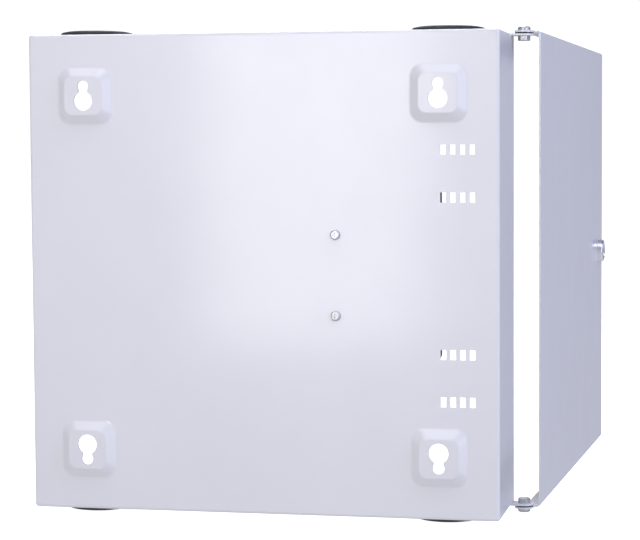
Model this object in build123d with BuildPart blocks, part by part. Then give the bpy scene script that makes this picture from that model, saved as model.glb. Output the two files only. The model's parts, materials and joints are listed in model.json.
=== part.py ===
"""Wall-mounted fibre termination box: a 300 x 300 mm folded steel housing with a swinging door.

Frame: +Z up, the door side faces -Y, the wall is at +Y, the hinges are at -X.
The origin is the centre of the plane where the four raised mounting pads meet the wall.
The door is modelled standing open, door_angle from closed.
"""

from build123d import *
import math
import os

os.makedirs("parts", exist_ok=True)

# ---------------------------------------------------------------- driving dimensions (mm)
width = 300.0
height = 300.0
depth = 65.0  # back plate to front edge
sheet = 1.2  # housing and door steel
bend = 2.0  # outer bend radius
lip = 8.0  # front return lips at the top, bottom and hinge side

pad_pitch = 225.5  # mounting pads, across
pad_z = 111.6  # pad centres above and below the middle
pad_lift = 4.0  # pads stand this far off the back plate
pad_base = 36.8
pad_top = 24.4
pad_corner = 8.0
pad_edge_r = 1.6
pad_foot_r = 2.0

key_big_r = 6.1  # screw head passes here
key_small_r = 3.65  # screw shank seats here
key_neck = 5.9  # slot between the two
key_big_z = 108.3
key_small_z = 117.4

slot_x = -124.2  # cable-tie slots in the back plate
slot_pitch = 6.0
slot_size = (3.5, 6.2)
slot_rows = (77.2, 48.1)

entry_x = 114.3  # cable entries in the top and bottom walls
entry_y = -32.0
entry_wall_r = 19.0
entry_flange_r = 23.0
entry_bore_r = 7.0
entry_rise = 3.0  # grommets stand this far out of the walls

pivot_out = 7.4  # hinge axis from the side wall
pivot_back = 6.0  # hinge axis behind the front edge
ear_r = 6.0
washer_thick = 0.8
end_play = 0.1  # axial gap each side of the door tabs
pin_r = 2.0  # M4 hinge screws
pin_gap = 0.08

door_angle = 92.5  # how far open the door stands
door_stand = 9.4  # door outer face from the hinge axis
door_start = 7.2  # door panel edge from the hinge axis
door_flange = 9.0
door_bend = 1.5
door_side_gap = 0.7  # free-side flange to housing wall
gasket_hinge_inset = 18.0
gasket_free_inset = 2.5
gasket_end_inset = 1.5
gasket_width = 8.0
gasket_thick = 1.8

lock_inset = 23.0  # lock axis from the door's free edge
lock_z = -2.5
lock_hole_r = 6.1
lock_head_r = 8.5
lock_head = 4.5
barrel_r = 6.0
barrel_length = 16.0
plug_r = 4.0
plug_gap = 0.06
plug_sunk = 0.9  # plug face below the rim of the head
cam_square = 5.0
cam_thick = 1.8
cam_width = 10.0
cam_reach = 17.0
cam_thread_r = 1.5
cam_washer_r = 4.2
cam_washer_thick = 0.8
keeper_length = 24.0
keeper_lip = 10.5
keeper_leg = 20.0

tray_bolt_x, tray_bolt_z = 27.5, 30.0
bracket_x = -48.0  # axis of the two screws in the back plate
bracket_pitch = 50.0
bracket_sheet = 1.5
bracket_length = 84.0
bracket_hole_r = 1.6
tray_size = (140.0, 110.0, 11.0)
tray_left = -109.9
tray_rear = 14.8  # tray floor from the inner face of the back plate
tray_wall = 1.5
tray_corner = 5.0
cover_thick = 1.5
spool_r = 27.0  # keeps the stored fibre above its bend radius
spool_wall = 1.4

panel_x = 60.0
panel_sheet = 1.5
panel_length = 184.0
panel_depth = 39.0
panel_foot = 20.0
panel_lip = 8.0
port_count = 12
port_pitch = 13.0
port_y = -28.0
port_size = (13.2, 9.6)
port_ear = 9.0  # adapter screw from the port's centre

# hexagon nuts: across flats, bore radius, thickness
nut_m3 = (5.5, 1.53, 2.4)
nut_m4 = (7.0, 2.02, 3.2)
nut_m5 = (8.0, 2.53, 4.0)
nut_m6 = (10.0, 3.03, 5.0)
nut_lock = (15.0, 6.03, 4.0)
m4_clear_r = 2.1
m5_clear_r = 2.65
m6_clear_r = 3.2

# cross-head screws: shank radius, length, head radius, head height
bracket_screw = (1.5, 8.0, 3.1, 1.9)
tray_screw = (2.0, 21.0, 3.6, 2.2)
adapter_screw = (1.0, 5.0, 1.8, 1.2)
adapter_screw_hole_r = 1.05

# ---------------------------------------------------------------- derived places
back_y = -pad_lift
inside_y = back_y - sheet
front_y = back_y - depth
inside_x = width / 2 - sheet
inside_z = height / 2 - sheet

pivot_x = -width / 2 - pivot_out
pivot_y = front_y + pivot_back
tab_z = height / 2 + washer_thick + end_play  # lower face of the top tab
door_top = tab_z + sheet
door_end = width / 2 - pivot_x + door_side_gap + sheet  # free edge from the hinge axis
door_inner = door_stand - sheet
lock_u = door_end - lock_inset
lock_spot = (lock_u, lock_z)

swing = math.radians(-door_angle)
door_along = Vector(math.cos(swing), math.sin(swing), 0)
door_out = Vector(math.sin(swing), -math.cos(swing), 0)
door_plane = Plane(origin=(pivot_x, pivot_y, 0), x_dir=door_along, z_dir=door_out)
# On door_plane: x runs from the hinge axis along the door, y is up, z is out of its face.

back_face = Plane.XZ.offset(-back_y)  # x right, y up, normal towards the front
inner_back = Plane.XZ.offset(-inside_y)
wall_face = Plane.XZ

mirrored = (1, -1)


def tab_plane(z):
    """A level plane at height z, x along the door from the hinge axis, y away from its outer face."""
    return Plane(origin=(pivot_x, pivot_y, z), x_dir=door_along, z_dir=(0, 0, 1))


def save(piece, name):
    """Labels one finished piece and writes it."""
    piece.part.label = name
    export_step(piece.part, f"parts/{name}.step")


# ---------------------------------------------------------------- housing
def pressed_form(base, top, base_y, top_y, corner):
    """A flat-topped square boss with sloping sides, as pressed into the back plate."""
    with BuildPart() as form:
        with BuildSketch(Plane.XZ.offset(-base_y)):
            RectangleRounded(base, base, corner)
        with BuildSketch(Plane.XZ.offset(-top_y)):
            RectangleRounded(top, top, corner * top / base)
        loft()
    return form.part


slope_run = (pad_base - pad_top) / 2
skin_shift = 2 * (math.hypot(slope_run, pad_lift) - pad_lift) / slope_run * sheet / 2
pad_inset = skin_shift + sheet / 2
pad_outside = pressed_form(pad_base, pad_top, back_y - sheet / 2, 0, pad_corner)
pad_inside = pressed_form(pad_base - pad_inset, pad_top - pad_inset, inside_y, -sheet, pad_corner - 0.5)
pad_outside = fillet(pad_outside.edges().group_by(Axis.Y)[-1], pad_edge_r)

with BuildPart() as housing:
    with BuildSketch(back_face):
        Rectangle(width, height)
    extrude(amount=depth)
    fillet(housing.edges().filter_by(Axis.Y), bend)
    fillet(housing.edges().group_by(Axis.Y)[-1], bend)
    offset(amount=-sheet, openings=housing.faces().sort_by(Axis.Y)[0])

    # return lips round the front opening, none on the lock side
    with BuildSketch(Plane.XZ.offset(-front_y)):
        Rectangle(width - bend, height - bend)
        with Locations((lip, 0)):
            Rectangle(width, height - 2 * lip, mode=Mode.SUBTRACT)
    extrude(amount=-sheet)

    # four raised mounting pads
    with Locations(*[(x * pad_pitch / 2, 0, z * pad_z) for x in mirrored for z in mirrored]):
        add(pad_outside)
        add(pad_inside, mode=Mode.SUBTRACT)
    on_back = housing.edges().filter_by_position(Axis.Y, back_y - 0.01, back_y + 0.01)
    pad_reach = (pad_pitch + pad_base) / 2 + 1
    pad_feet = on_back.filter_by_position(Axis.X, -pad_reach, pad_reach)
    pad_feet = pad_feet.filter_by_position(Axis.Z, -pad_reach, pad_reach)
    fillet(pad_feet, pad_foot_r)

    # keyholes: the narrow ends point to the top and bottom edges
    with BuildSketch(wall_face.offset(-1)):
        for z in mirrored:
            with Locations(*[(x * pad_pitch / 2, z * key_big_z) for x in mirrored]):
                Circle(key_big_r)
            with Locations(*[(x * pad_pitch / 2, z * key_small_z) for x in mirrored]):
                Circle(key_small_r)
            with Locations(*[(x * pad_pitch / 2, z * (key_big_z + key_small_z) / 2) for x in mirrored]):
                Rectangle(key_neck, key_small_z - key_big_z)
    extrude(amount=pad_lift + sheet + 2, mode=Mode.SUBTRACT)

    # cable-tie slots and the two bracket screw holes
    with BuildSketch(back_face.offset(-1)):
        with Locations(*[(slot_x, side * z) for side in mirrored for z in slot_rows]):
            with GridLocations(slot_pitch, 1, 4, 1):
                Rectangle(*slot_size)
        with Locations((bracket_x, bracket_pitch / 2), (bracket_x, -bracket_pitch / 2)):
            Circle(bracket_hole_r)
    extrude(amount=sheet + 2, mode=Mode.SUBTRACT)

    # hinge ears, level with the top and bottom walls
    for z in (height / 2 - sheet, -height / 2):
        with BuildSketch(Plane.XY.offset(z)):
            with Locations((pivot_x, pivot_y)):
                Circle(ear_r)
            with Locations((pivot_x / 2 - width / 4 + bend, pivot_y)):
                Rectangle(pivot_out + 2 * bend, 2 * ear_r)
        extrude(amount=sheet)
    with Locations((pivot_x, pivot_y, 0)):
        Cylinder(pin_r + pin_gap, height + 2, mode=Mode.SUBTRACT)

    # cable entries
    with Locations(*[(x * entry_x, entry_y, 0) for x in mirrored]):
        Cylinder(entry_wall_r, height + 2, mode=Mode.SUBTRACT)
save(housing, "housing")


# ---------------------------------------------------------------- door
with BuildPart() as door:
    with BuildSketch(door_plane.offset(door_stand)):
        with Locations(((door_start + door_end) / 2, 0)):
            Rectangle(door_end - door_start, 2 * door_top)
    extrude(amount=-door_flange)
    face_edges = door.faces().sort_by(Axis((0, 0, 0), door_out))[-1].edges()
    free_edges = door.edges().sort_by(Axis((0, 0, 0), door_along))[-4:]
    corners = free_edges.filter_by(Axis((0, 0, 0), door_out))
    fillet(face_edges.sort_by(Axis((0, 0, 0), door_along))[1:] + corners, door_bend)
    with BuildSketch(door_plane.offset(door_inner)):
        with Locations(((door_end - sheet) / 2, 0)):
            Rectangle(door_end - sheet, 2 * tab_z)
    extrude(amount=-door_flange, mode=Mode.SUBTRACT)

    # tabs that reach over and under the hinge ears
    for z in (tab_z, -door_top):
        with BuildSketch(tab_plane(z)):
            Circle(ear_r)
            with Locations((door_start, 0)):
                Rectangle(2 * door_start, 2 * ear_r)
            with Locations((door_start, -door_stand / 2)):
                Rectangle(door_start, door_stand - 3)
        extrude(amount=sheet)
    with BuildSketch(tab_plane(-door_top - 1)):
        Circle(pin_r + pin_gap)
    extrude(amount=2 * door_top + 2, mode=Mode.SUBTRACT)

    # lock hole
    with BuildSketch(door_plane.offset(door_stand + 1)):
        with Locations(lock_spot):
            Circle(lock_hole_r)
    extrude(amount=-sheet - 2, mode=Mode.SUBTRACT)
save(door, "door")

# dust strips along the top and bottom, which close on the housing's lips
gasket_start = door_start + gasket_hinge_inset
gasket_end = door_end - gasket_free_inset
gasket_z = tab_z - gasket_end_inset - gasket_width / 2

with BuildPart() as door_gasket:
    with BuildSketch(door_plane.offset(door_inner)):
        with Locations(*[((gasket_start + gasket_end) / 2, side * gasket_z) for side in mirrored]):
            Rectangle(gasket_end - gasket_start, gasket_width)
    extrude(amount=-gasket_thick)
    fillet(door_gasket.edges().filter_by(Axis((0, 0, 0), door_out)), 2)
save(door_gasket, "door_gasket")


# ---------------------------------------------------------------- fasteners
def hexagon_nut(plane, spots, size):
    """Chamfered hexagon nuts standing on a plane at each spot."""
    across_flats, bore_r, thickness = size
    corner_r = across_flats / math.sqrt(3)
    with BuildPart() as nut:
        with BuildSketch(plane):
            with Locations(*spots):
                RegularPolygon(across_flats / 2, 6, major_radius=False)
        extrude(amount=thickness)
        with BuildSketch(plane):
            with Locations(*spots):
                Circle(corner_r - 0.12)
        extrude(amount=thickness, mode=Mode.INTERSECT)
        chamfer(nut.faces().sort_by(Axis((0, 0, 0), plane.z_dir))[-len(spots):].edges(), 0.25)
        with BuildSketch(plane):
            with Locations(*spots):
                Circle(bore_r)
        extrude(amount=thickness, mode=Mode.SUBTRACT)
    return nut


def flat_washer(plane, spots, outer_r, bore_r, thickness):
    with BuildPart() as washer:
        with BuildSketch(plane):
            with Locations(*spots):
                Circle(outer_r)
                Circle(bore_r, mode=Mode.SUBTRACT)
        extrude(amount=thickness)
    return washer


def cross_screw(plane, spots, shank_r, length, head_r, head_height):
    """Pan-head screws: the heads stand on the plane, the shanks go the other way."""
    crown = head_height * 0.55
    cross_width = head_r * 0.24
    with BuildPart() as screw:
        with BuildSketch(plane):
            with Locations(*spots):
                Circle(head_r)
        extrude(amount=head_height)
        tops = screw.faces().sort_by(Axis((0, 0, 0), plane.z_dir))[-len(spots):]
        fillet(tops.edges(), crown)
        with BuildSketch(plane.offset(head_height)):
            with Locations(*spots):
                Rectangle(head_r, cross_width)
                Rectangle(cross_width, head_r)
        extrude(amount=-crown, mode=Mode.SUBTRACT)
        with BuildSketch(plane):
            with Locations(*spots):
                Circle(shank_r)
        extrude(amount=-length)
        tips = screw.faces().sort_by(Axis((0, 0, 0), plane.z_dir))[:len(spots)]
        chamfer(tips.edges(), shank_r * 0.2)
    return screw


def mirrored_pair(piece):
    """The piece and its mirror image in the level plane through the middle."""
    with BuildPart() as pair:
        add(piece.part)
        mirror(piece.part, about=Plane.XY)
    return pair


hinge_spot = [(pivot_x, pivot_y)]
hinge_seat = door_top + end_play
hinge_screw_length = hinge_seat - inside_z + nut_m4[2]  # its end is level with the nut
hinge_screw = (pin_r, hinge_screw_length, 4.0, 2.4)
save(mirrored_pair(cross_screw(Plane.XY.offset(hinge_seat), hinge_spot, *hinge_screw)), "hinge_screws")

washer = flat_washer(Plane.XY.offset(height / 2), hinge_spot, ear_r - 0.2, m4_clear_r, washer_thick)
save(mirrored_pair(washer), "hinge_washers")

under_wall = Plane.XY.offset(inside_z).rotated((180, 0, 0))
save(mirrored_pair(hexagon_nut(under_wall, [(pivot_x, -pivot_y)], nut_m4)), "hinge_nuts")


# ---------------------------------------------------------------- cable grommets
def grommet(x, side):
    """Rubber grommet snapped into a wall; side is 1 in the top wall and -1 in the bottom."""
    wall = height / 2
    with BuildPart() as ring:
        with BuildSketch(Plane(origin=(x, entry_y, 0), x_dir=(1, 0, 0), z_dir=(0, -1, 0))):
            with BuildLine():
                Polyline(
                    (entry_bore_r, side * (wall - 1.5)),
                    (entry_bore_r, side * (wall + 1.6)),
                    (entry_wall_r - 5, side * (wall + entry_rise)),
                    (entry_wall_r, side * (wall + entry_rise)),
                    (entry_flange_r - 0.8, side * (wall + entry_rise - 0.7)),
                    (entry_flange_r, side * (wall + entry_rise - 1.6)),
                    (entry_flange_r, side * wall),
                    (entry_wall_r - 0.05, side * wall),
                    (entry_wall_r - 0.05, side * (wall - sheet)),
                    (entry_flange_r - 1.5, side * (wall - sheet)),
                    (entry_flange_r - 2.5, side * (wall - sheet - 2)),
                    (entry_wall_r - 3, side * (wall - sheet - 3)),
                    (entry_wall_r - 4, side * (wall - 1.5)),
                    close=True,
                )
            make_face()
        revolve(axis=Axis((x, entry_y, 0), (0, 0, 1)))
    return ring


for row, side in (("top", 1), ("bottom", -1)):
    for column, x in (("hinge_side", -entry_x), ("lock_side", entry_x)):
        save(grommet(x, side), f"grommet_{row}_{column}")


# ---------------------------------------------------------------- cam lock
lock_face = door_plane.offset(door_stand + lock_head)
barrel_end = door_stand - barrel_length

with BuildPart() as lock_barrel:
    with BuildSketch(door_plane.offset(door_stand)):
        with Locations(lock_spot):
            Circle(lock_head_r)
    extrude(amount=lock_head)
    outer_rim = lock_barrel.faces().sort_by(Axis((0, 0, 0), door_out))[-1].edges()
    fillet(outer_rim, 1.4)
    with BuildSketch(door_plane.offset(door_stand)):
        with Locations(lock_spot):
            Circle(barrel_r)
    extrude(amount=-barrel_length)
    with BuildSketch(lock_face):
        with Locations(lock_spot):
            Circle(lock_head_r - 1.7)
    extrude(amount=-0.7, mode=Mode.SUBTRACT)
    with BuildSketch(lock_face):
        with Locations(lock_spot):
            Circle(plug_r + plug_gap)
    extrude(amount=-lock_head - barrel_length, mode=Mode.SUBTRACT)
save(lock_barrel, "lock_barrel")

with BuildPart() as lock_plug:
    with BuildSketch(lock_face.offset(-plug_sunk)):
        with Locations(lock_spot):
            Circle(plug_r)
    extrude(amount=-(lock_head - plug_sunk + barrel_length + end_play))
    with BuildSketch(door_plane.offset(barrel_end - end_play)):
        with Locations(lock_spot):
            Rectangle(cam_square, cam_square)
    extrude(amount=-cam_thick + 0.05)
    # keyway
    with BuildSketch(lock_face):
        with Locations(lock_spot):
            Rectangle(1.2, 5.6)
            with Locations((0.6, 1.4)):
                Rectangle(1.2, 1.0)
    extrude(amount=-6, mode=Mode.SUBTRACT)
    # thread for the cam screw
    with BuildSketch(door_plane.offset(barrel_end - cam_thick - 1)):
        with Locations(lock_spot):
            Circle(cam_thread_r)
    extrude(amount=9, mode=Mode.SUBTRACT)
save(lock_plug, "lock_plug")

nut_seat = Plane(origin=door_plane.offset(door_inner).origin, x_dir=door_along, z_dir=-door_out)
save(hexagon_nut(nut_seat, [(lock_u, -lock_z)], nut_lock), "lock_nut")

cam_plane = door_plane.offset(barrel_end - end_play)
with BuildPart() as lock_cam:
    with BuildSketch(cam_plane):
        with Locations(lock_spot):
            Circle(0.65 * cam_width)
        with Locations((lock_u, lock_z + cam_reach / 2)):
            Rectangle(cam_width, cam_reach)
        with Locations(lock_spot):
            Rectangle(cam_square + 0.1, cam_square + 0.1, mode=Mode.SUBTRACT)
    extrude(amount=-cam_thick)
    tip = lock_cam.edges().filter_by(Axis((0, 0, 0), door_out)).group_by(Axis.Z)[-1]
    fillet(tip, 0.3 * cam_width)
save(lock_cam, "lock_cam")

cam_screw_plane = cam_plane.offset(-cam_thick)
with BuildPart() as lock_cam_screw:
    with BuildSketch(cam_screw_plane):
        with Locations(lock_spot):
            Circle(cam_washer_r)
    extrude(amount=-cam_washer_thick)
    with BuildSketch(cam_screw_plane.offset(-cam_washer_thick)):
        with Locations(lock_spot):
            RegularPolygon(nut_m3[0] / 2, 6, major_radius=False)
    extrude(amount=-2.2)
    with BuildSketch(cam_screw_plane):
        with Locations(lock_spot):
            Circle(cam_thread_r - 0.05)
    extrude(amount=5)
save(lock_cam_screw, "lock_cam_screw")

# keeper on the lock-side wall: the closed cam turns behind its lip
keeper_clear = 0.8
keeper_y = pivot_y - barrel_end + end_play - keeper_clear - sheet / 2
keeper_x = inside_x - sheet / 2
with BuildPart() as lock_keeper:
    with BuildSketch(Plane.XY.offset(-keeper_length / 2)):
        with BuildLine():
            FilletPolyline(
                (inside_x - keeper_lip, keeper_y),
                (keeper_x, keeper_y),
                (keeper_x, keeper_y + keeper_leg + sheet / 2),
                radius=1.2,
            )
        trace(line_width=sheet)
    extrude(amount=keeper_length)
save(lock_keeper, "lock_keeper")


# ---------------------------------------------------------------- splice tray and its bracket
tray_floor_y = inside_y - tray_rear
tray_x = tray_left + tray_size[0] / 2
half_sheet = bracket_sheet / 2

with BuildPart() as tray_bracket:
    with BuildSketch(Plane.XY.offset(-bracket_length / 2)):
        with BuildLine():
            FilletPolyline(
                (bracket_x - 36, tray_floor_y + half_sheet),
                (bracket_x - 19, tray_floor_y + half_sheet),
                (bracket_x - 14, inside_y - half_sheet),
                (bracket_x + 14, inside_y - half_sheet),
                (bracket_x + 19, tray_floor_y + half_sheet),
                (bracket_x + 36, tray_floor_y + half_sheet),
                radius=2,
            )
        trace(line_width=bracket_sheet)
    extrude(amount=bracket_length)
    with BuildSketch(back_face):
        with Locations((bracket_x, bracket_pitch / 2), (bracket_x, -bracket_pitch / 2)):
            Circle(bracket_hole_r)
        with Locations((bracket_x, 0)):
            with GridLocations(2 * tray_bolt_x, 2 * tray_bolt_z, 2, 2):
                Circle(m4_clear_r)
    extrude(amount=depth / 2, mode=Mode.SUBTRACT)
save(tray_bracket, "tray_bracket")

screw_spots = [(bracket_x, bracket_pitch / 2), (bracket_x, -bracket_pitch / 2)]
screw_plane = Plane(origin=(0, back_y, 0), x_dir=(1, 0, 0), z_dir=(0, 1, 0))
save(cross_screw(screw_plane, screw_spots, *bracket_screw), "bracket_screws")
save(hexagon_nut(inner_back.offset(bracket_sheet), screw_spots, nut_m3), "bracket_nuts")

tray_length, tray_height, tray_depth = tray_size
tray_floor = Plane.XZ.offset(-tray_floor_y)  # x right, y up, normal towards the front
tray_spots = [
    (bracket_x + x * tray_bolt_x, z * tray_bolt_z) for x in mirrored for z in mirrored
]
spool_x = tray_length / 2 - spool_r - 8
boss_r = 4.5
doorway_z = 33.0

with BuildPart() as splice_tray:
    with BuildSketch(tray_floor):
        with Locations((tray_x, 0)):
            RectangleRounded(tray_length, tray_height, tray_corner)
    extrude(amount=tray_depth)
    with BuildSketch(tray_floor.offset(tray_wall)):
        with Locations((tray_x, 0)):
            RectangleRounded(
                tray_length - 2 * tray_wall, tray_height - 2 * tray_wall, tray_corner - tray_wall
            )
    extrude(amount=tray_depth, mode=Mode.SUBTRACT)

    # two broken rings that keep the stored fibre above its bend radius
    with BuildSketch(tray_floor.offset(tray_wall)):
        with Locations((tray_x - spool_x, 0), (tray_x + spool_x, 0)):
            Circle(spool_r)
            Circle(spool_r - spool_wall, mode=Mode.SUBTRACT)
        with Locations((tray_x, 0)):
            Rectangle(2 * spool_x + 6, 14, mode=Mode.SUBTRACT)
            Rectangle(36, tray_height - 10, mode=Mode.SUBTRACT)
    extrude(amount=tray_depth - tray_wall - 2)

    # bosses for the tray screws
    with BuildSketch(tray_floor.offset(tray_wall)):
        with Locations(*tray_spots):
            Circle(boss_r)
    extrude(amount=tray_depth - tray_wall)
    with BuildSketch(tray_floor.offset(-1)):
        with Locations(*tray_spots):
            Circle(m4_clear_r)
    extrude(amount=tray_depth + 2, mode=Mode.SUBTRACT)

    # fibre doorways at the four corners and tie slots beside them
    with BuildSketch(tray_floor.offset(tray_wall + 1)):
        for x in (tray_x - tray_length / 2, tray_x + tray_length / 2):
            with Locations((x, doorway_z), (x, -doorway_z)):
                Rectangle(8, 10)
    extrude(amount=tray_depth, mode=Mode.SUBTRACT)
    with BuildSketch(tray_floor.offset(-1)):
        for x in (tray_x - tray_length / 2 + 5, tray_x + tray_length / 2 - 5):
            with Locations((x, doorway_z), (x, -doorway_z)):
                with GridLocations(1, 7, 1, 2):
                    Rectangle(4.2, 2.2)
    extrude(amount=tray_wall + 2, mode=Mode.SUBTRACT)
save(splice_tray, "splice_tray")

# combs that hold the splice sleeves side by side
slot_count = 6
slot_step = 4.0
comb_z = 13.0
comb_length = 30.0
comb_height = 6.0
comb_floor = tray_wall + 1.5
for name, z in (("upper", comb_z), ("lower", -comb_z)):
    with BuildPart() as comb:
        with BuildSketch(tray_floor.offset(tray_wall)):
            with Locations((tray_x, z)):
                Rectangle(comb_length, slot_count * slot_step + 1)
        extrude(amount=comb_height)
        with BuildSketch(tray_floor.offset(comb_floor)):
            with Locations((tray_x, z)):
                with GridLocations(1, slot_step, 1, slot_count):
                    Rectangle(comb_length + 1, 2.6)
                Rectangle(9, slot_count * slot_step + 2)
        extrude(amount=comb_height, mode=Mode.SUBTRACT)
    save(comb, f"splice_comb_{name}")

cover_plane = tray_floor.offset(tray_depth)
with BuildPart() as tray_cover:
    with BuildSketch(cover_plane):
        with Locations((tray_x, 0)):
            RectangleRounded(tray_length, tray_height, tray_corner)
        with Locations(*tray_spots):
            Circle(m4_clear_r, mode=Mode.SUBTRACT)
    extrude(amount=cover_thick)
    # finger notches
    with BuildSketch(cover_plane.offset(-1)):
        with Locations((tray_x, tray_height / 2), (tray_x, -tray_height / 2)):
            Rectangle(22, 7)
    extrude(amount=4, mode=Mode.SUBTRACT)
    fillet(tray_cover.faces().sort_by(Axis.Y)[0].outer_wire().edges(), 0.5)
save(tray_cover, "tray_cover")

# screws through the bracket, tray and cover, closed by knurled nuts
tray_screw_plane = Plane(
    origin=(0, tray_floor_y + bracket_sheet, 0), x_dir=(1, 0, 0), z_dir=(0, 1, 0)
)
save(cross_screw(tray_screw_plane, tray_spots, *tray_screw), "tray_screws")

knob_r = 5.5
knob_height = 4.5
knob_plane = cover_plane.offset(cover_thick)
with BuildPart() as tray_nuts:
    with BuildSketch(knob_plane):
        with Locations(*tray_spots):
            Circle(knob_r)
        for spot in tray_spots:
            with Locations(spot):
                with PolarLocations(knob_r + 0.2, 18):
                    Circle(0.45, mode=Mode.SUBTRACT)
        with Locations(*tray_spots):
            Circle(2.03, mode=Mode.SUBTRACT)
    extrude(amount=knob_height)
save(tray_nuts, "tray_nuts")


# ---------------------------------------------------------------- adapter panel and its fixings
port_heights = [(i - (port_count - 1) / 2) * port_pitch for i in range(port_count)]
port_holes = [(port_y, z) for z in port_heights]
port_ears = [(port_y + side * port_ear, z) for z in port_heights for side in mirrored]
panel_front_y = inside_y - panel_depth
stud_x = panel_x + 13.0
stud_r = 2.0
panel_stud_hole_r = stud_r + 0.15
panel_spots = [(stud_x, z) for z in (-68, 0, 68)]
half_panel = panel_sheet / 2
port_plane = Plane(origin=(panel_x, 0, 0), x_dir=(0, 1, 0), z_dir=(1, 0, 0))  # x = Y, y = Z

with BuildPart() as adapter_panel:
    with BuildSketch(Plane.XY.offset(-panel_length / 2)):
        with BuildLine():
            FilletPolyline(
                (panel_x + panel_foot, inside_y - half_panel),
                (panel_x + half_panel, inside_y - half_panel),
                (panel_x + half_panel, panel_front_y + half_panel),
                (panel_x + panel_lip, panel_front_y + half_panel),
                radius=1.5,
            )
        trace(line_width=panel_sheet)
    extrude(amount=panel_length)
    with BuildSketch(port_plane.offset(-1)):
        with Locations(*port_holes):
            Rectangle(*port_size)
        with Locations(*port_ears):
            Circle(adapter_screw_hole_r)
    extrude(amount=panel_sheet + 2, mode=Mode.SUBTRACT)
    with BuildSketch(inner_back.offset(-1)):
        with Locations(*panel_spots):
            Circle(panel_stud_hole_r)
    extrude(amount=panel_sheet + 2, mode=Mode.SUBTRACT)
save(adapter_panel, "adapter_panel")


def welded_studs(spots, radius, length):
    """Threaded weld studs standing on the inside of the back plate."""
    with BuildPart() as studs:
        with BuildSketch(inner_back):
            with Locations(*spots):
                Circle(radius)
        extrude(amount=length)
        tips = studs.faces().sort_by(Axis.Y)[:len(spots)]
        chamfer(tips.edges(), 0.4)
    return studs


save(welded_studs(panel_spots, stud_r, 9), "panel_studs")
save(hexagon_nut(inner_back.offset(panel_sheet), panel_spots, nut_m4), "panel_nuts")

body_front = panel_sheet + 12.5  # patch-side end of an adapter, from the panel plane
body_rear = -13.0
body_size = (port_size[0] - 0.3, port_size[1] - 0.3)
body_ends = ((body_rear, 1), (body_front, -1))  # each port's mouth and the way into it
mouth_size = (9.4, 7.4)
pocket = 8.0
ferrule_r = 2.4
ferrule_bore_r = 1.25
flange_thick = 2.0


def adapter(z):
    """Square-port fibre adapter with a flange on the patch side of the panel."""
    with BuildPart() as shell:
        with BuildSketch(port_plane.offset(body_rear)):
            with Locations((port_y, z)):
                Rectangle(*body_size)
        extrude(amount=body_front - body_rear)
        fillet(shell.edges().filter_by(Axis.X), 0.6)
        with BuildSketch(port_plane.offset(panel_sheet)):
            with Locations((port_y, z)):
                RectangleRounded(2 * port_ear + 4, body_size[1], 1)
        extrude(amount=flange_thick)
        with BuildSketch(port_plane.offset(panel_sheet)):
            with Locations((port_y - port_ear, z), (port_y + port_ear, z)):
                Circle(adapter_screw_hole_r)
        extrude(amount=flange_thick, mode=Mode.SUBTRACT)
        for mouth, way in body_ends:
            with BuildSketch(port_plane.offset(mouth)):
                with Locations((port_y, z)):
                    RectangleRounded(*mouth_size, 0.5)
                    Circle(ferrule_r, mode=Mode.SUBTRACT)
            extrude(amount=way * pocket, mode=Mode.SUBTRACT)
            with BuildSketch(port_plane.offset(mouth)):
                with Locations((port_y, z)):
                    Circle(ferrule_r)
            extrude(amount=way * 1.5, mode=Mode.SUBTRACT)
        with BuildSketch(port_plane.offset(body_rear - 1)):
            with Locations((port_y, z)):
                Circle(ferrule_bore_r)
        extrude(amount=body_front - body_rear + 2, mode=Mode.SUBTRACT)
    return shell


for number, z in enumerate(port_heights, start=1):
    save(adapter(z), f"adapter_{number:02d}")

adapter_face = port_plane.offset(panel_sheet + flange_thick)
save(cross_screw(adapter_face, port_ears, *adapter_screw), "adapter_screws")


cap_rim = (10.6, 8.6)
cap_rim_thick = 2.0
cap_grip = (8.4, 6.4)
cap_grip_length = 5.0
cap_plug = (mouth_size[0] - 0.2, mouth_size[1] - 0.2)
cap_plug_length = 6.5


def dust_caps(mouth, way):
    """Twelve dust caps pushed into the ports; mouth is the port end and way points into it."""
    with BuildPart() as caps:
        with BuildSketch(port_plane.offset(mouth)):
            with Locations(*port_holes):
                RectangleRounded(*cap_rim, 1)
        extrude(amount=-way * cap_rim_thick)
        with BuildSketch(port_plane.offset(mouth - way * cap_rim_thick)):
            with Locations(*port_holes):
                RectangleRounded(*cap_grip, 1)
        extrude(amount=-way * cap_grip_length)
        with BuildSketch(port_plane.offset(mouth)):
            with Locations(*port_holes):
                RectangleRounded(*cap_plug, 0.4)
                Circle(ferrule_r + 0.2, mode=Mode.SUBTRACT)
        extrude(amount=way * cap_plug_length)
    return caps


save(dust_caps(body_front, -1), "patch_side_caps")
save(dust_caps(body_rear, 1), "pigtail_side_caps")


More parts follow.
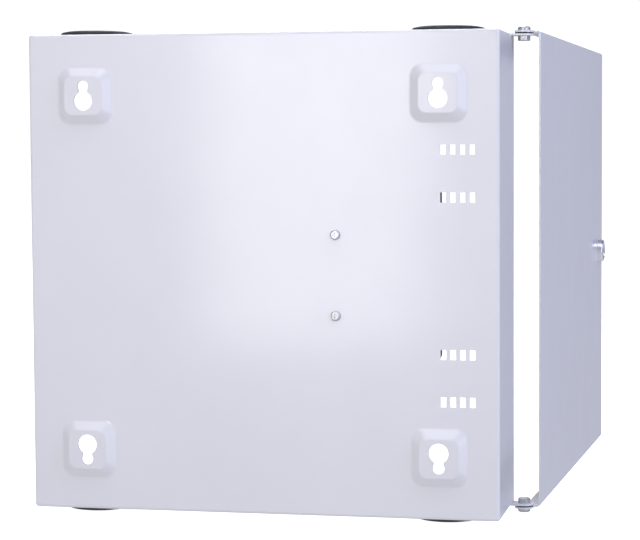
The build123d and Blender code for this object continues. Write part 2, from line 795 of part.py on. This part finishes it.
# ---------------------------------------------------------------- fibre clips on the back plate
clip_size = 16.0
clip_rise = 13.0
clip_base = 1.6
clip_wall = 1.6
clip_inside = clip_size - 2 * clip_wall
clip_places = {
    "top": (-20.0, 90.0),
    "bottom": (-20.0, -90.0),
    "patch_top": (104.0, 62.0),
    "patch_bottom": (104.0, -62.0),
}
for name, (x, z) in clip_places.items():
    with BuildPart() as clip:
        with BuildSketch(inner_back):
            with Locations((x, z)):
                RectangleRounded(clip_size + 4, clip_size, 2)
        extrude(amount=clip_base)
        with BuildSketch(Plane.XY.offset(z - clip_size / 4)):
            with Locations((x, inside_y - clip_base - clip_rise / 2)):
                RectangleRounded(clip_size, clip_rise, 4)
                RectangleRounded(clip_inside, clip_rise - 2 * clip_wall, 2.6, mode=Mode.SUBTRACT)
            with Locations((x, inside_y - clip_base - clip_rise)):
                Rectangle(2.4, 5, mode=Mode.SUBTRACT)
        extrude(amount=clip_size / 2)
        with BuildSketch(inner_back.offset(1.2)):
            with Locations((x, z)):
                Rectangle(clip_size - 8.5, clip_size / 2)
        extrude(amount=0.8)
    save(clip, f"fibre_clip_{name}")


# ---------------------------------------------------------------- strength-member anchors
anchor_spots = [(-84.0, 112.0), (-84.0, -112.0)]
anchor_plate = (15.0, 18.0)
save(welded_studs(anchor_spots, 2.5, 20), "anchor_studs")
with BuildPart() as anchor_plates:
    for level in (7.0, 12.0):
        with BuildSketch(inner_back.offset(level)):
            with Locations(*anchor_spots):
                RectangleRounded(*anchor_plate, 2)
                Circle(m5_clear_r, mode=Mode.SUBTRACT)
        extrude(amount=1.5)
save(anchor_plates, "anchor_plates")
save(hexagon_nut(inner_back.offset(13.5), anchor_spots, nut_m5), "anchor_nuts")
save(hexagon_nut(inner_back.offset(3.0), anchor_spots, nut_m5), "anchor_lock_nuts")


# ---------------------------------------------------------------- earth stud
earth_spot = [(18.0, -128.0)]
save(welded_studs(earth_spot, 3.0, 16), "earth_stud")
earth_washer_thick = 1.6
save(flat_washer(inner_back, earth_spot, 6.0, m6_clear_r, earth_washer_thick), "earth_washer")
save(hexagon_nut(inner_back.offset(earth_washer_thick), earth_spot, nut_m6), "earth_nut")
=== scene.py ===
"""Fibre termination box seen from behind, door open: looks, fine detail, studio and camera."""

import json
import math

import bpy
from mathutils import Matrix, Vector


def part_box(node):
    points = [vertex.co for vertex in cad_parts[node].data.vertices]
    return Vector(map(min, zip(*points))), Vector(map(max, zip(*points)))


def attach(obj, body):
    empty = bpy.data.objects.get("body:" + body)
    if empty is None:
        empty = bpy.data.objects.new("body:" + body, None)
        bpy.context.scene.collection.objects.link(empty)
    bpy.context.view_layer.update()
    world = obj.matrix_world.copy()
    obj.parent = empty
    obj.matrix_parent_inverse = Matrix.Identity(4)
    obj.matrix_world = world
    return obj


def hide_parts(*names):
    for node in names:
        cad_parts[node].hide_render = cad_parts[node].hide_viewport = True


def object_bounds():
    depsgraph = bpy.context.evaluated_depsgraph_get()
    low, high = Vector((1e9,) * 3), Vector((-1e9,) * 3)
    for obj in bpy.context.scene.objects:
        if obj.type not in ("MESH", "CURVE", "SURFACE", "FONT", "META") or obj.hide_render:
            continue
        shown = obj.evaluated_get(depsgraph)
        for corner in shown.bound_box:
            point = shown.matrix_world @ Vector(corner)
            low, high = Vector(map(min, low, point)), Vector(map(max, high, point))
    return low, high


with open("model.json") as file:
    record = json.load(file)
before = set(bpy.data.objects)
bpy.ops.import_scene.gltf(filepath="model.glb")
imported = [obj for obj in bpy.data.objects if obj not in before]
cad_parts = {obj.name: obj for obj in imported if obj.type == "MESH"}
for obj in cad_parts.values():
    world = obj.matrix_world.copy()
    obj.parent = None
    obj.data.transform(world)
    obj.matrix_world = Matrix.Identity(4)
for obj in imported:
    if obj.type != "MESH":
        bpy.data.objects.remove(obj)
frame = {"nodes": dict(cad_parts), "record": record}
cad_low, cad_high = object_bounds()
nodes = frame["nodes"]


# ---------------------------------------------------------------- material kit
def new_material(name):
    """A node material with its node tree and its main shader."""
    material = bpy.data.materials.new(name)
    material.use_nodes = True
    tree = material.node_tree
    return material, tree, tree.nodes["Principled BSDF"]


def add_node(tree, kind):
    return tree.nodes.new(kind)


def noise(tree, scale, detail=3.0, rough=0.5):
    """A noise texture on the object's own coordinates, in cycles per metre."""
    place = add_node(tree, "ShaderNodeTexCoord")
    texture = add_node(tree, "ShaderNodeTexNoise")
    texture.inputs["Scale"].default_value = scale
    texture.inputs["Detail"].default_value = detail
    texture.inputs["Roughness"].default_value = rough
    tree.links.new(place.outputs["Object"], texture.inputs["Vector"])
    return texture.outputs["Fac"]


def ramp(tree, value, low, high, start=0.35, end=0.65):
    """Maps a 0 to 1 value to a range of colours or greys."""
    node = add_node(tree, "ShaderNodeValToRGB")
    node.color_ramp.elements[0].position = start
    node.color_ramp.elements[1].position = end
    node.color_ramp.elements[0].color = (*low, 1)
    node.color_ramp.elements[1].color = (*high, 1)
    tree.links.new(value, node.inputs["Fac"])
    return node.outputs["Color"]


def vary_roughness(tree, shader, value, low, high):
    """Lets the roughness wander between low and high. Noise seldom leaves the range 0.3 to 0.7."""
    spread = add_node(tree, "ShaderNodeMapRange")
    spread.inputs["From Min"].default_value = 0.3
    spread.inputs["From Max"].default_value = 0.7
    spread.inputs["To Min"].default_value = low
    spread.inputs["To Max"].default_value = high
    tree.links.new(value, spread.inputs["Value"])
    tree.links.new(spread.outputs["Result"], shader.inputs["Roughness"])


def add_bump(tree, shader, value, height):
    """Relief of the given height in metres."""
    bump = add_node(tree, "ShaderNodeBump")
    bump.inputs["Strength"].default_value = 1.0
    bump.inputs["Distance"].default_value = height
    tree.links.new(value, bump.inputs["Height"])
    tree.links.new(bump.outputs["Normal"], shader.inputs["Normal"])


smudges_per_cloud = 6


def surface(name, low, high, roughness, bump=None, metallic=0.0, cloud=9.0, coat=0.0,
            coat_roughness=0.1):
    """One finish: clouds between two colours, roughness between two values, and a fine bump.

    cloud is in cycles per metre, and bump is a grain in cycles per metre with a height in metres.
    """
    material, tree, shader = new_material(name)
    clouds = noise(tree, cloud, 4.0, 0.55)
    tree.links.new(ramp(tree, clouds, low, high), shader.inputs["Base Color"])
    smudges = noise(tree, cloud * smudges_per_cloud)
    vary_roughness(tree, shader, smudges, *roughness)
    shader.inputs["Metallic"].default_value = metallic
    shader.inputs["Coat Weight"].default_value = coat
    shader.inputs["Coat Roughness"].default_value = coat_roughness
    if bump:
        grain, height = bump
        add_bump(tree, shader, noise(tree, grain, 2.0), height)
    return material


paint = surface("powder_coat", (0.71, 0.715, 0.745), (0.73, 0.735, 0.765), (0.30, 0.38),
                bump=(700, 0.00003), coat=0.45, coat_roughness=0.12)
zinc = surface("zinc_plate", (0.44, 0.45, 0.47), (0.62, 0.63, 0.64), (0.34, 0.46),
               bump=(1800, 0.00001), metallic=1.0, cloud=160)
chrome = surface("chrome", (0.84, 0.84, 0.86), (0.90, 0.90, 0.92), (0.24, 0.32),
                 metallic=1.0, cloud=40)
brass = surface("brass", (0.62, 0.46, 0.20), (0.74, 0.56, 0.28), (0.22, 0.34),
                metallic=1.0, cloud=80)
rubber = surface("black_rubber", (0.012, 0.012, 0.013), (0.028, 0.028, 0.030), (0.48, 0.62),
                 bump=(1500, 0.00004), cloud=50)
foam = surface("foam", (0.016, 0.016, 0.018), (0.045, 0.045, 0.048), (0.85, 0.95),
               bump=(1400, 0.0004), cloud=900)
black_plastic = surface("black_plastic", (0.014, 0.014, 0.015), (0.024, 0.024, 0.026), (0.34, 0.46),
                        bump=(2600, 0.00003), cloud=30)
white_plastic = surface("white_plastic", (0.70, 0.70, 0.67), (0.76, 0.76, 0.73), (0.35, 0.45),
                        bump=(2000, 0.00002), cloud=60)
green_plastic = surface("green_plastic", (0.010, 0.16, 0.055), (0.014, 0.20, 0.070), (0.26, 0.36),
                        bump=(2200, 0.00002), cloud=80)
cap_plastic = surface("cap_plastic", (0.72, 0.73, 0.70), (0.80, 0.80, 0.78), (0.40, 0.50),
                      bump=(1800, 0.00002), cloud=90)
cap_shader = cap_plastic.node_tree.nodes["Principled BSDF"]
cap_shader.inputs["Subsurface Weight"].default_value = 0.2
cap_shader.inputs["Subsurface Radius"].default_value = (0.002, 0.002, 0.002)

clear_plastic = surface("clear_plastic", (0.90, 0.93, 0.95), (0.95, 0.97, 0.98), (0.06, 0.12),
                        cloud=20)
clear_shader = clear_plastic.node_tree.nodes["Principled BSDF"]
clear_shader.inputs["Transmission Weight"].default_value = 0.95
clear_shader.inputs["IOR"].default_value = 1.49

finishes = {
    "painted_steel": paint,
    "zinc_steel": zinc,
    "chrome": chrome,
    "black_rubber": rubber,
    "foam": foam,
    "black_plastic": black_plastic,
    "white_plastic": white_plastic,
    "clear_plastic": clear_plastic,
    "brass": brass,
    "green_plastic": green_plastic,
    "cap_plastic": cap_plastic,
}
slot_of = {part["node"]: part["material_slot"] for part in frame["record"]["subparts"]}
for name, piece in nodes.items():
    for slot in piece.material_slots:
        slot.material = finishes[slot_of[name]]


# ---------------------------------------------------------------- threads on the welded studs
# radius and pitch in metres
m4_thread = (0.002, 0.0007)
m5_thread = (0.0025, 0.0008)
m6_thread = (0.003, 0.001)
points_around = 32
rows_per_turn = 6
depth_in_pitches = 0.54
run_out_in_pitches = 0.9
flank_slope = 2.4
flank_offset = 0.7


def threaded_rod(name, foot, tip, radius, pitch):
    """A rod from foot to tip along -Y with a thread cut into it and a chamfered end."""
    length = foot.y - tip.y
    rows = round(length / pitch * rows_per_turn)
    thread_depth = depth_in_pitches * pitch
    run_out = run_out_in_pitches * pitch
    points = []
    for row in range(rows + 1):
        along = row / rows * length
        to_tip = length - along
        fade = min(1.0, min(along, to_tip) / run_out)
        chamfer = 0.5 * max(0.0, thread_depth - to_tip)
        for step in range(points_around):
            turn = step / points_around
            phase = (along / pitch - turn) % 1.0
            ridge = min(1.0, max(0.0, flank_slope * abs(2 * phase - 1) - flank_offset))
            depth = thread_depth * (1 - ridge) * fade
            reach = radius - max(depth, chamfer)
            angle = turn * math.tau
            x, z = foot.x + reach * math.cos(angle), foot.z + reach * math.sin(angle)
            points.append((x, foot.y - along, z))
    last_ring = rows * points_around
    faces = [list(range(points_around))[::-1], list(range(last_ring, last_ring + points_around))]
    for ring in range(0, last_ring, points_around):
        for step in range(points_around):
            a, b = ring + step, ring + (step + 1) % points_around
            faces.append([a, b, b + points_around, a + points_around])
    mesh = bpy.data.meshes.new(name)
    mesh.from_pydata(points, [], faces)
    mesh.materials.append(zinc)
    rod = bpy.data.objects.new(name, mesh)
    bpy.context.scene.collection.objects.link(rod)
    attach(rod, "housing")
    return rod


def thread_studs(node, thread, heights):
    """Replaces a node's plain studs with threaded ones at the given heights."""
    low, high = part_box(node)
    x = (low[0] + high[0]) / 2
    rods = []
    for number, z in enumerate(heights, start=1):
        foot, tip = Vector((x, high[1], z)), Vector((x, low[1], z))
        rods.append(threaded_rod(f"{node}_thread_{number}", foot, tip, *thread))
    for rod in rods:
        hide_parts(node)


def end_heights(node, thread):
    """Heights of the lowest and highest stud axes of a node."""
    radius = thread[0]
    low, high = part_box(node)
    return low[2] + radius, high[2] - radius


bottom, top = end_heights("panel_studs", m4_thread)
thread_studs("panel_studs", m4_thread, (bottom, (bottom + top) / 2, top))
thread_studs("anchor_studs", m5_thread, end_heights("anchor_studs", m5_thread))
thread_studs("earth_stud", m6_thread, end_heights("earth_stud", m6_thread)[:1])


# ---------------------------------------------------------------- studio
def area_light(name, at, size, power, colour=(1, 1, 1)):
    """A soft rectangular light that faces the middle of the object."""
    data = bpy.data.lights.new(name, "AREA")
    data.shape = "RECTANGLE"
    data.size, data.size_y = size
    data.energy = power
    data.color = colour
    light = bpy.data.objects.new(name, data)
    light.location = at
    light.rotation_mode = "QUATERNION"
    light.rotation_quaternion = (-Vector(at)).to_track_quat("-Z", "Y")
    bpy.context.scene.collection.objects.link(light)


area_light("back_softbox", (0.476, 2.1, 0.36), (0.40, 1.30), 12.5, (1.0, 0.97, 1.0))
area_light("camera_side_softbox", (-1.9, 1.4, 0.2), (1.3, 1.5), 13.0, (0.86, 0.88, 1.0))
area_light("lock_side_softbox", (2.2, 1.3, 0.2), (1.4, 1.5), 4.5)
area_light("lock_strip", (0.058, 2.1, 0.65), (0.12, 1.7), 1.9)
area_light("hinge_side_softbox", (-2.0, 0.2, 1.4), (1.4, 1.4), 26.0, (0.58, 0.65, 1.0))
area_light("front_softbox", (0.7, -2.0, 2.3), (1.6, 1.2), 44.0)
area_light("top_softbox", (0.1, 0.9, 2.3), (2.4, 1.3), 24.0)

world = bpy.data.worlds.new("studio")
bpy.context.scene.world = world
world.use_nodes = True
sky = world.node_tree

# the room's own light: brighter below, dimmer and bluer above
direction = add_node(sky, "ShaderNodeTexCoord")
split = add_node(sky, "ShaderNodeSeparateXYZ")
height = add_node(sky, "ShaderNodeMapRange")
height.inputs["From Min"].default_value = -1.0
tone = add_node(sky, "ShaderNodeValToRGB")
tone.color_ramp.elements[0].position = 0.15
tone.color_ramp.elements[0].color = (0.72, 0.725, 0.78, 1)
tone.color_ramp.elements[1].position = 0.85
tone.color_ramp.elements[1].color = (0.13, 0.13, 0.18, 1)
room = sky.nodes["Background"]
sky.links.new(direction.outputs["Generated"], split.inputs["Vector"])
sky.links.new(split.outputs["Z"], height.inputs["Value"])
sky.links.new(height.outputs["Result"], tone.inputs["Fac"])
sky.links.new(tone.outputs["Color"], room.inputs["Color"])

# what lies behind the object is plain white
white = add_node(sky, "ShaderNodeBackground")
white.inputs["Color"].default_value = (1, 1, 1, 1)
white.inputs["Strength"].default_value = 1.1
path = add_node(sky, "ShaderNodeLightPath")
blend = add_node(sky, "ShaderNodeMixShader")
sky.links.new(path.outputs["Is Camera Ray"], blend.inputs[0])
sky.links.new(room.outputs["Background"], blend.inputs[1])
sky.links.new(white.outputs["Background"], blend.inputs[2])
sky.links.new(blend.outputs["Shader"], sky.nodes["World Output"].inputs["Surface"])

# a pale floor level with the lowest screw head
floor_reach = 40.0
floor_mesh = bpy.data.meshes.new("floor")
floor_corners = [(-1, -1), (1, -1), (1, 1), (-1, 1)]
floor_points = [(x * floor_reach, y * floor_reach, cad_low[2]) for x, y in floor_corners]
floor_mesh.from_pydata(floor_points, [], [range(4)])
floor = bpy.data.objects.new("floor", floor_mesh)
bpy.context.scene.collection.objects.link(floor)
floor_paint = surface("floor_paint", (0.80, 0.80, 0.82), (0.84, 0.84, 0.85), (0.7, 0.8),
                      cloud=0.5)
floor_shader = floor_paint.node_tree.nodes["Principled BSDF"]
floor_shader.inputs["Emission Color"].default_value = (1, 1, 1, 1)
floor_shader.inputs["Emission Strength"].default_value = 1.0
floor_mesh.materials.append(floor_paint)
floor.visible_diffuse = False
floor.visible_glossy = False

bpy.context.scene.view_settings.view_transform = "Standard"


# ---------------------------------------------------------------- camera
camera_forward = Vector((0.181913, -0.981709, -0.056173))
camera_up = Vector((0.007023, -0.055828, 0.998416))
camera_right = camera_forward.cross(camera_up).normalized()
camera_data = bpy.data.cameras.new("camera")
camera_data.sensor_width = 36
camera_data.lens = 105.05
camera_data.shift_x = -0.156
camera_data.shift_y = -0.027
camera = bpy.data.objects.new("camera", camera_data)
camera.location = (-0.308159, 1.114705, 0.078435)
camera.rotation_mode = "QUATERNION"
camera_axes = Matrix((camera_right, camera_up, -camera_forward)).transposed()
camera.rotation_quaternion = camera_axes.to_quaternion()
bpy.context.scene.collection.objects.link(camera)
bpy.context.scene.camera = camera
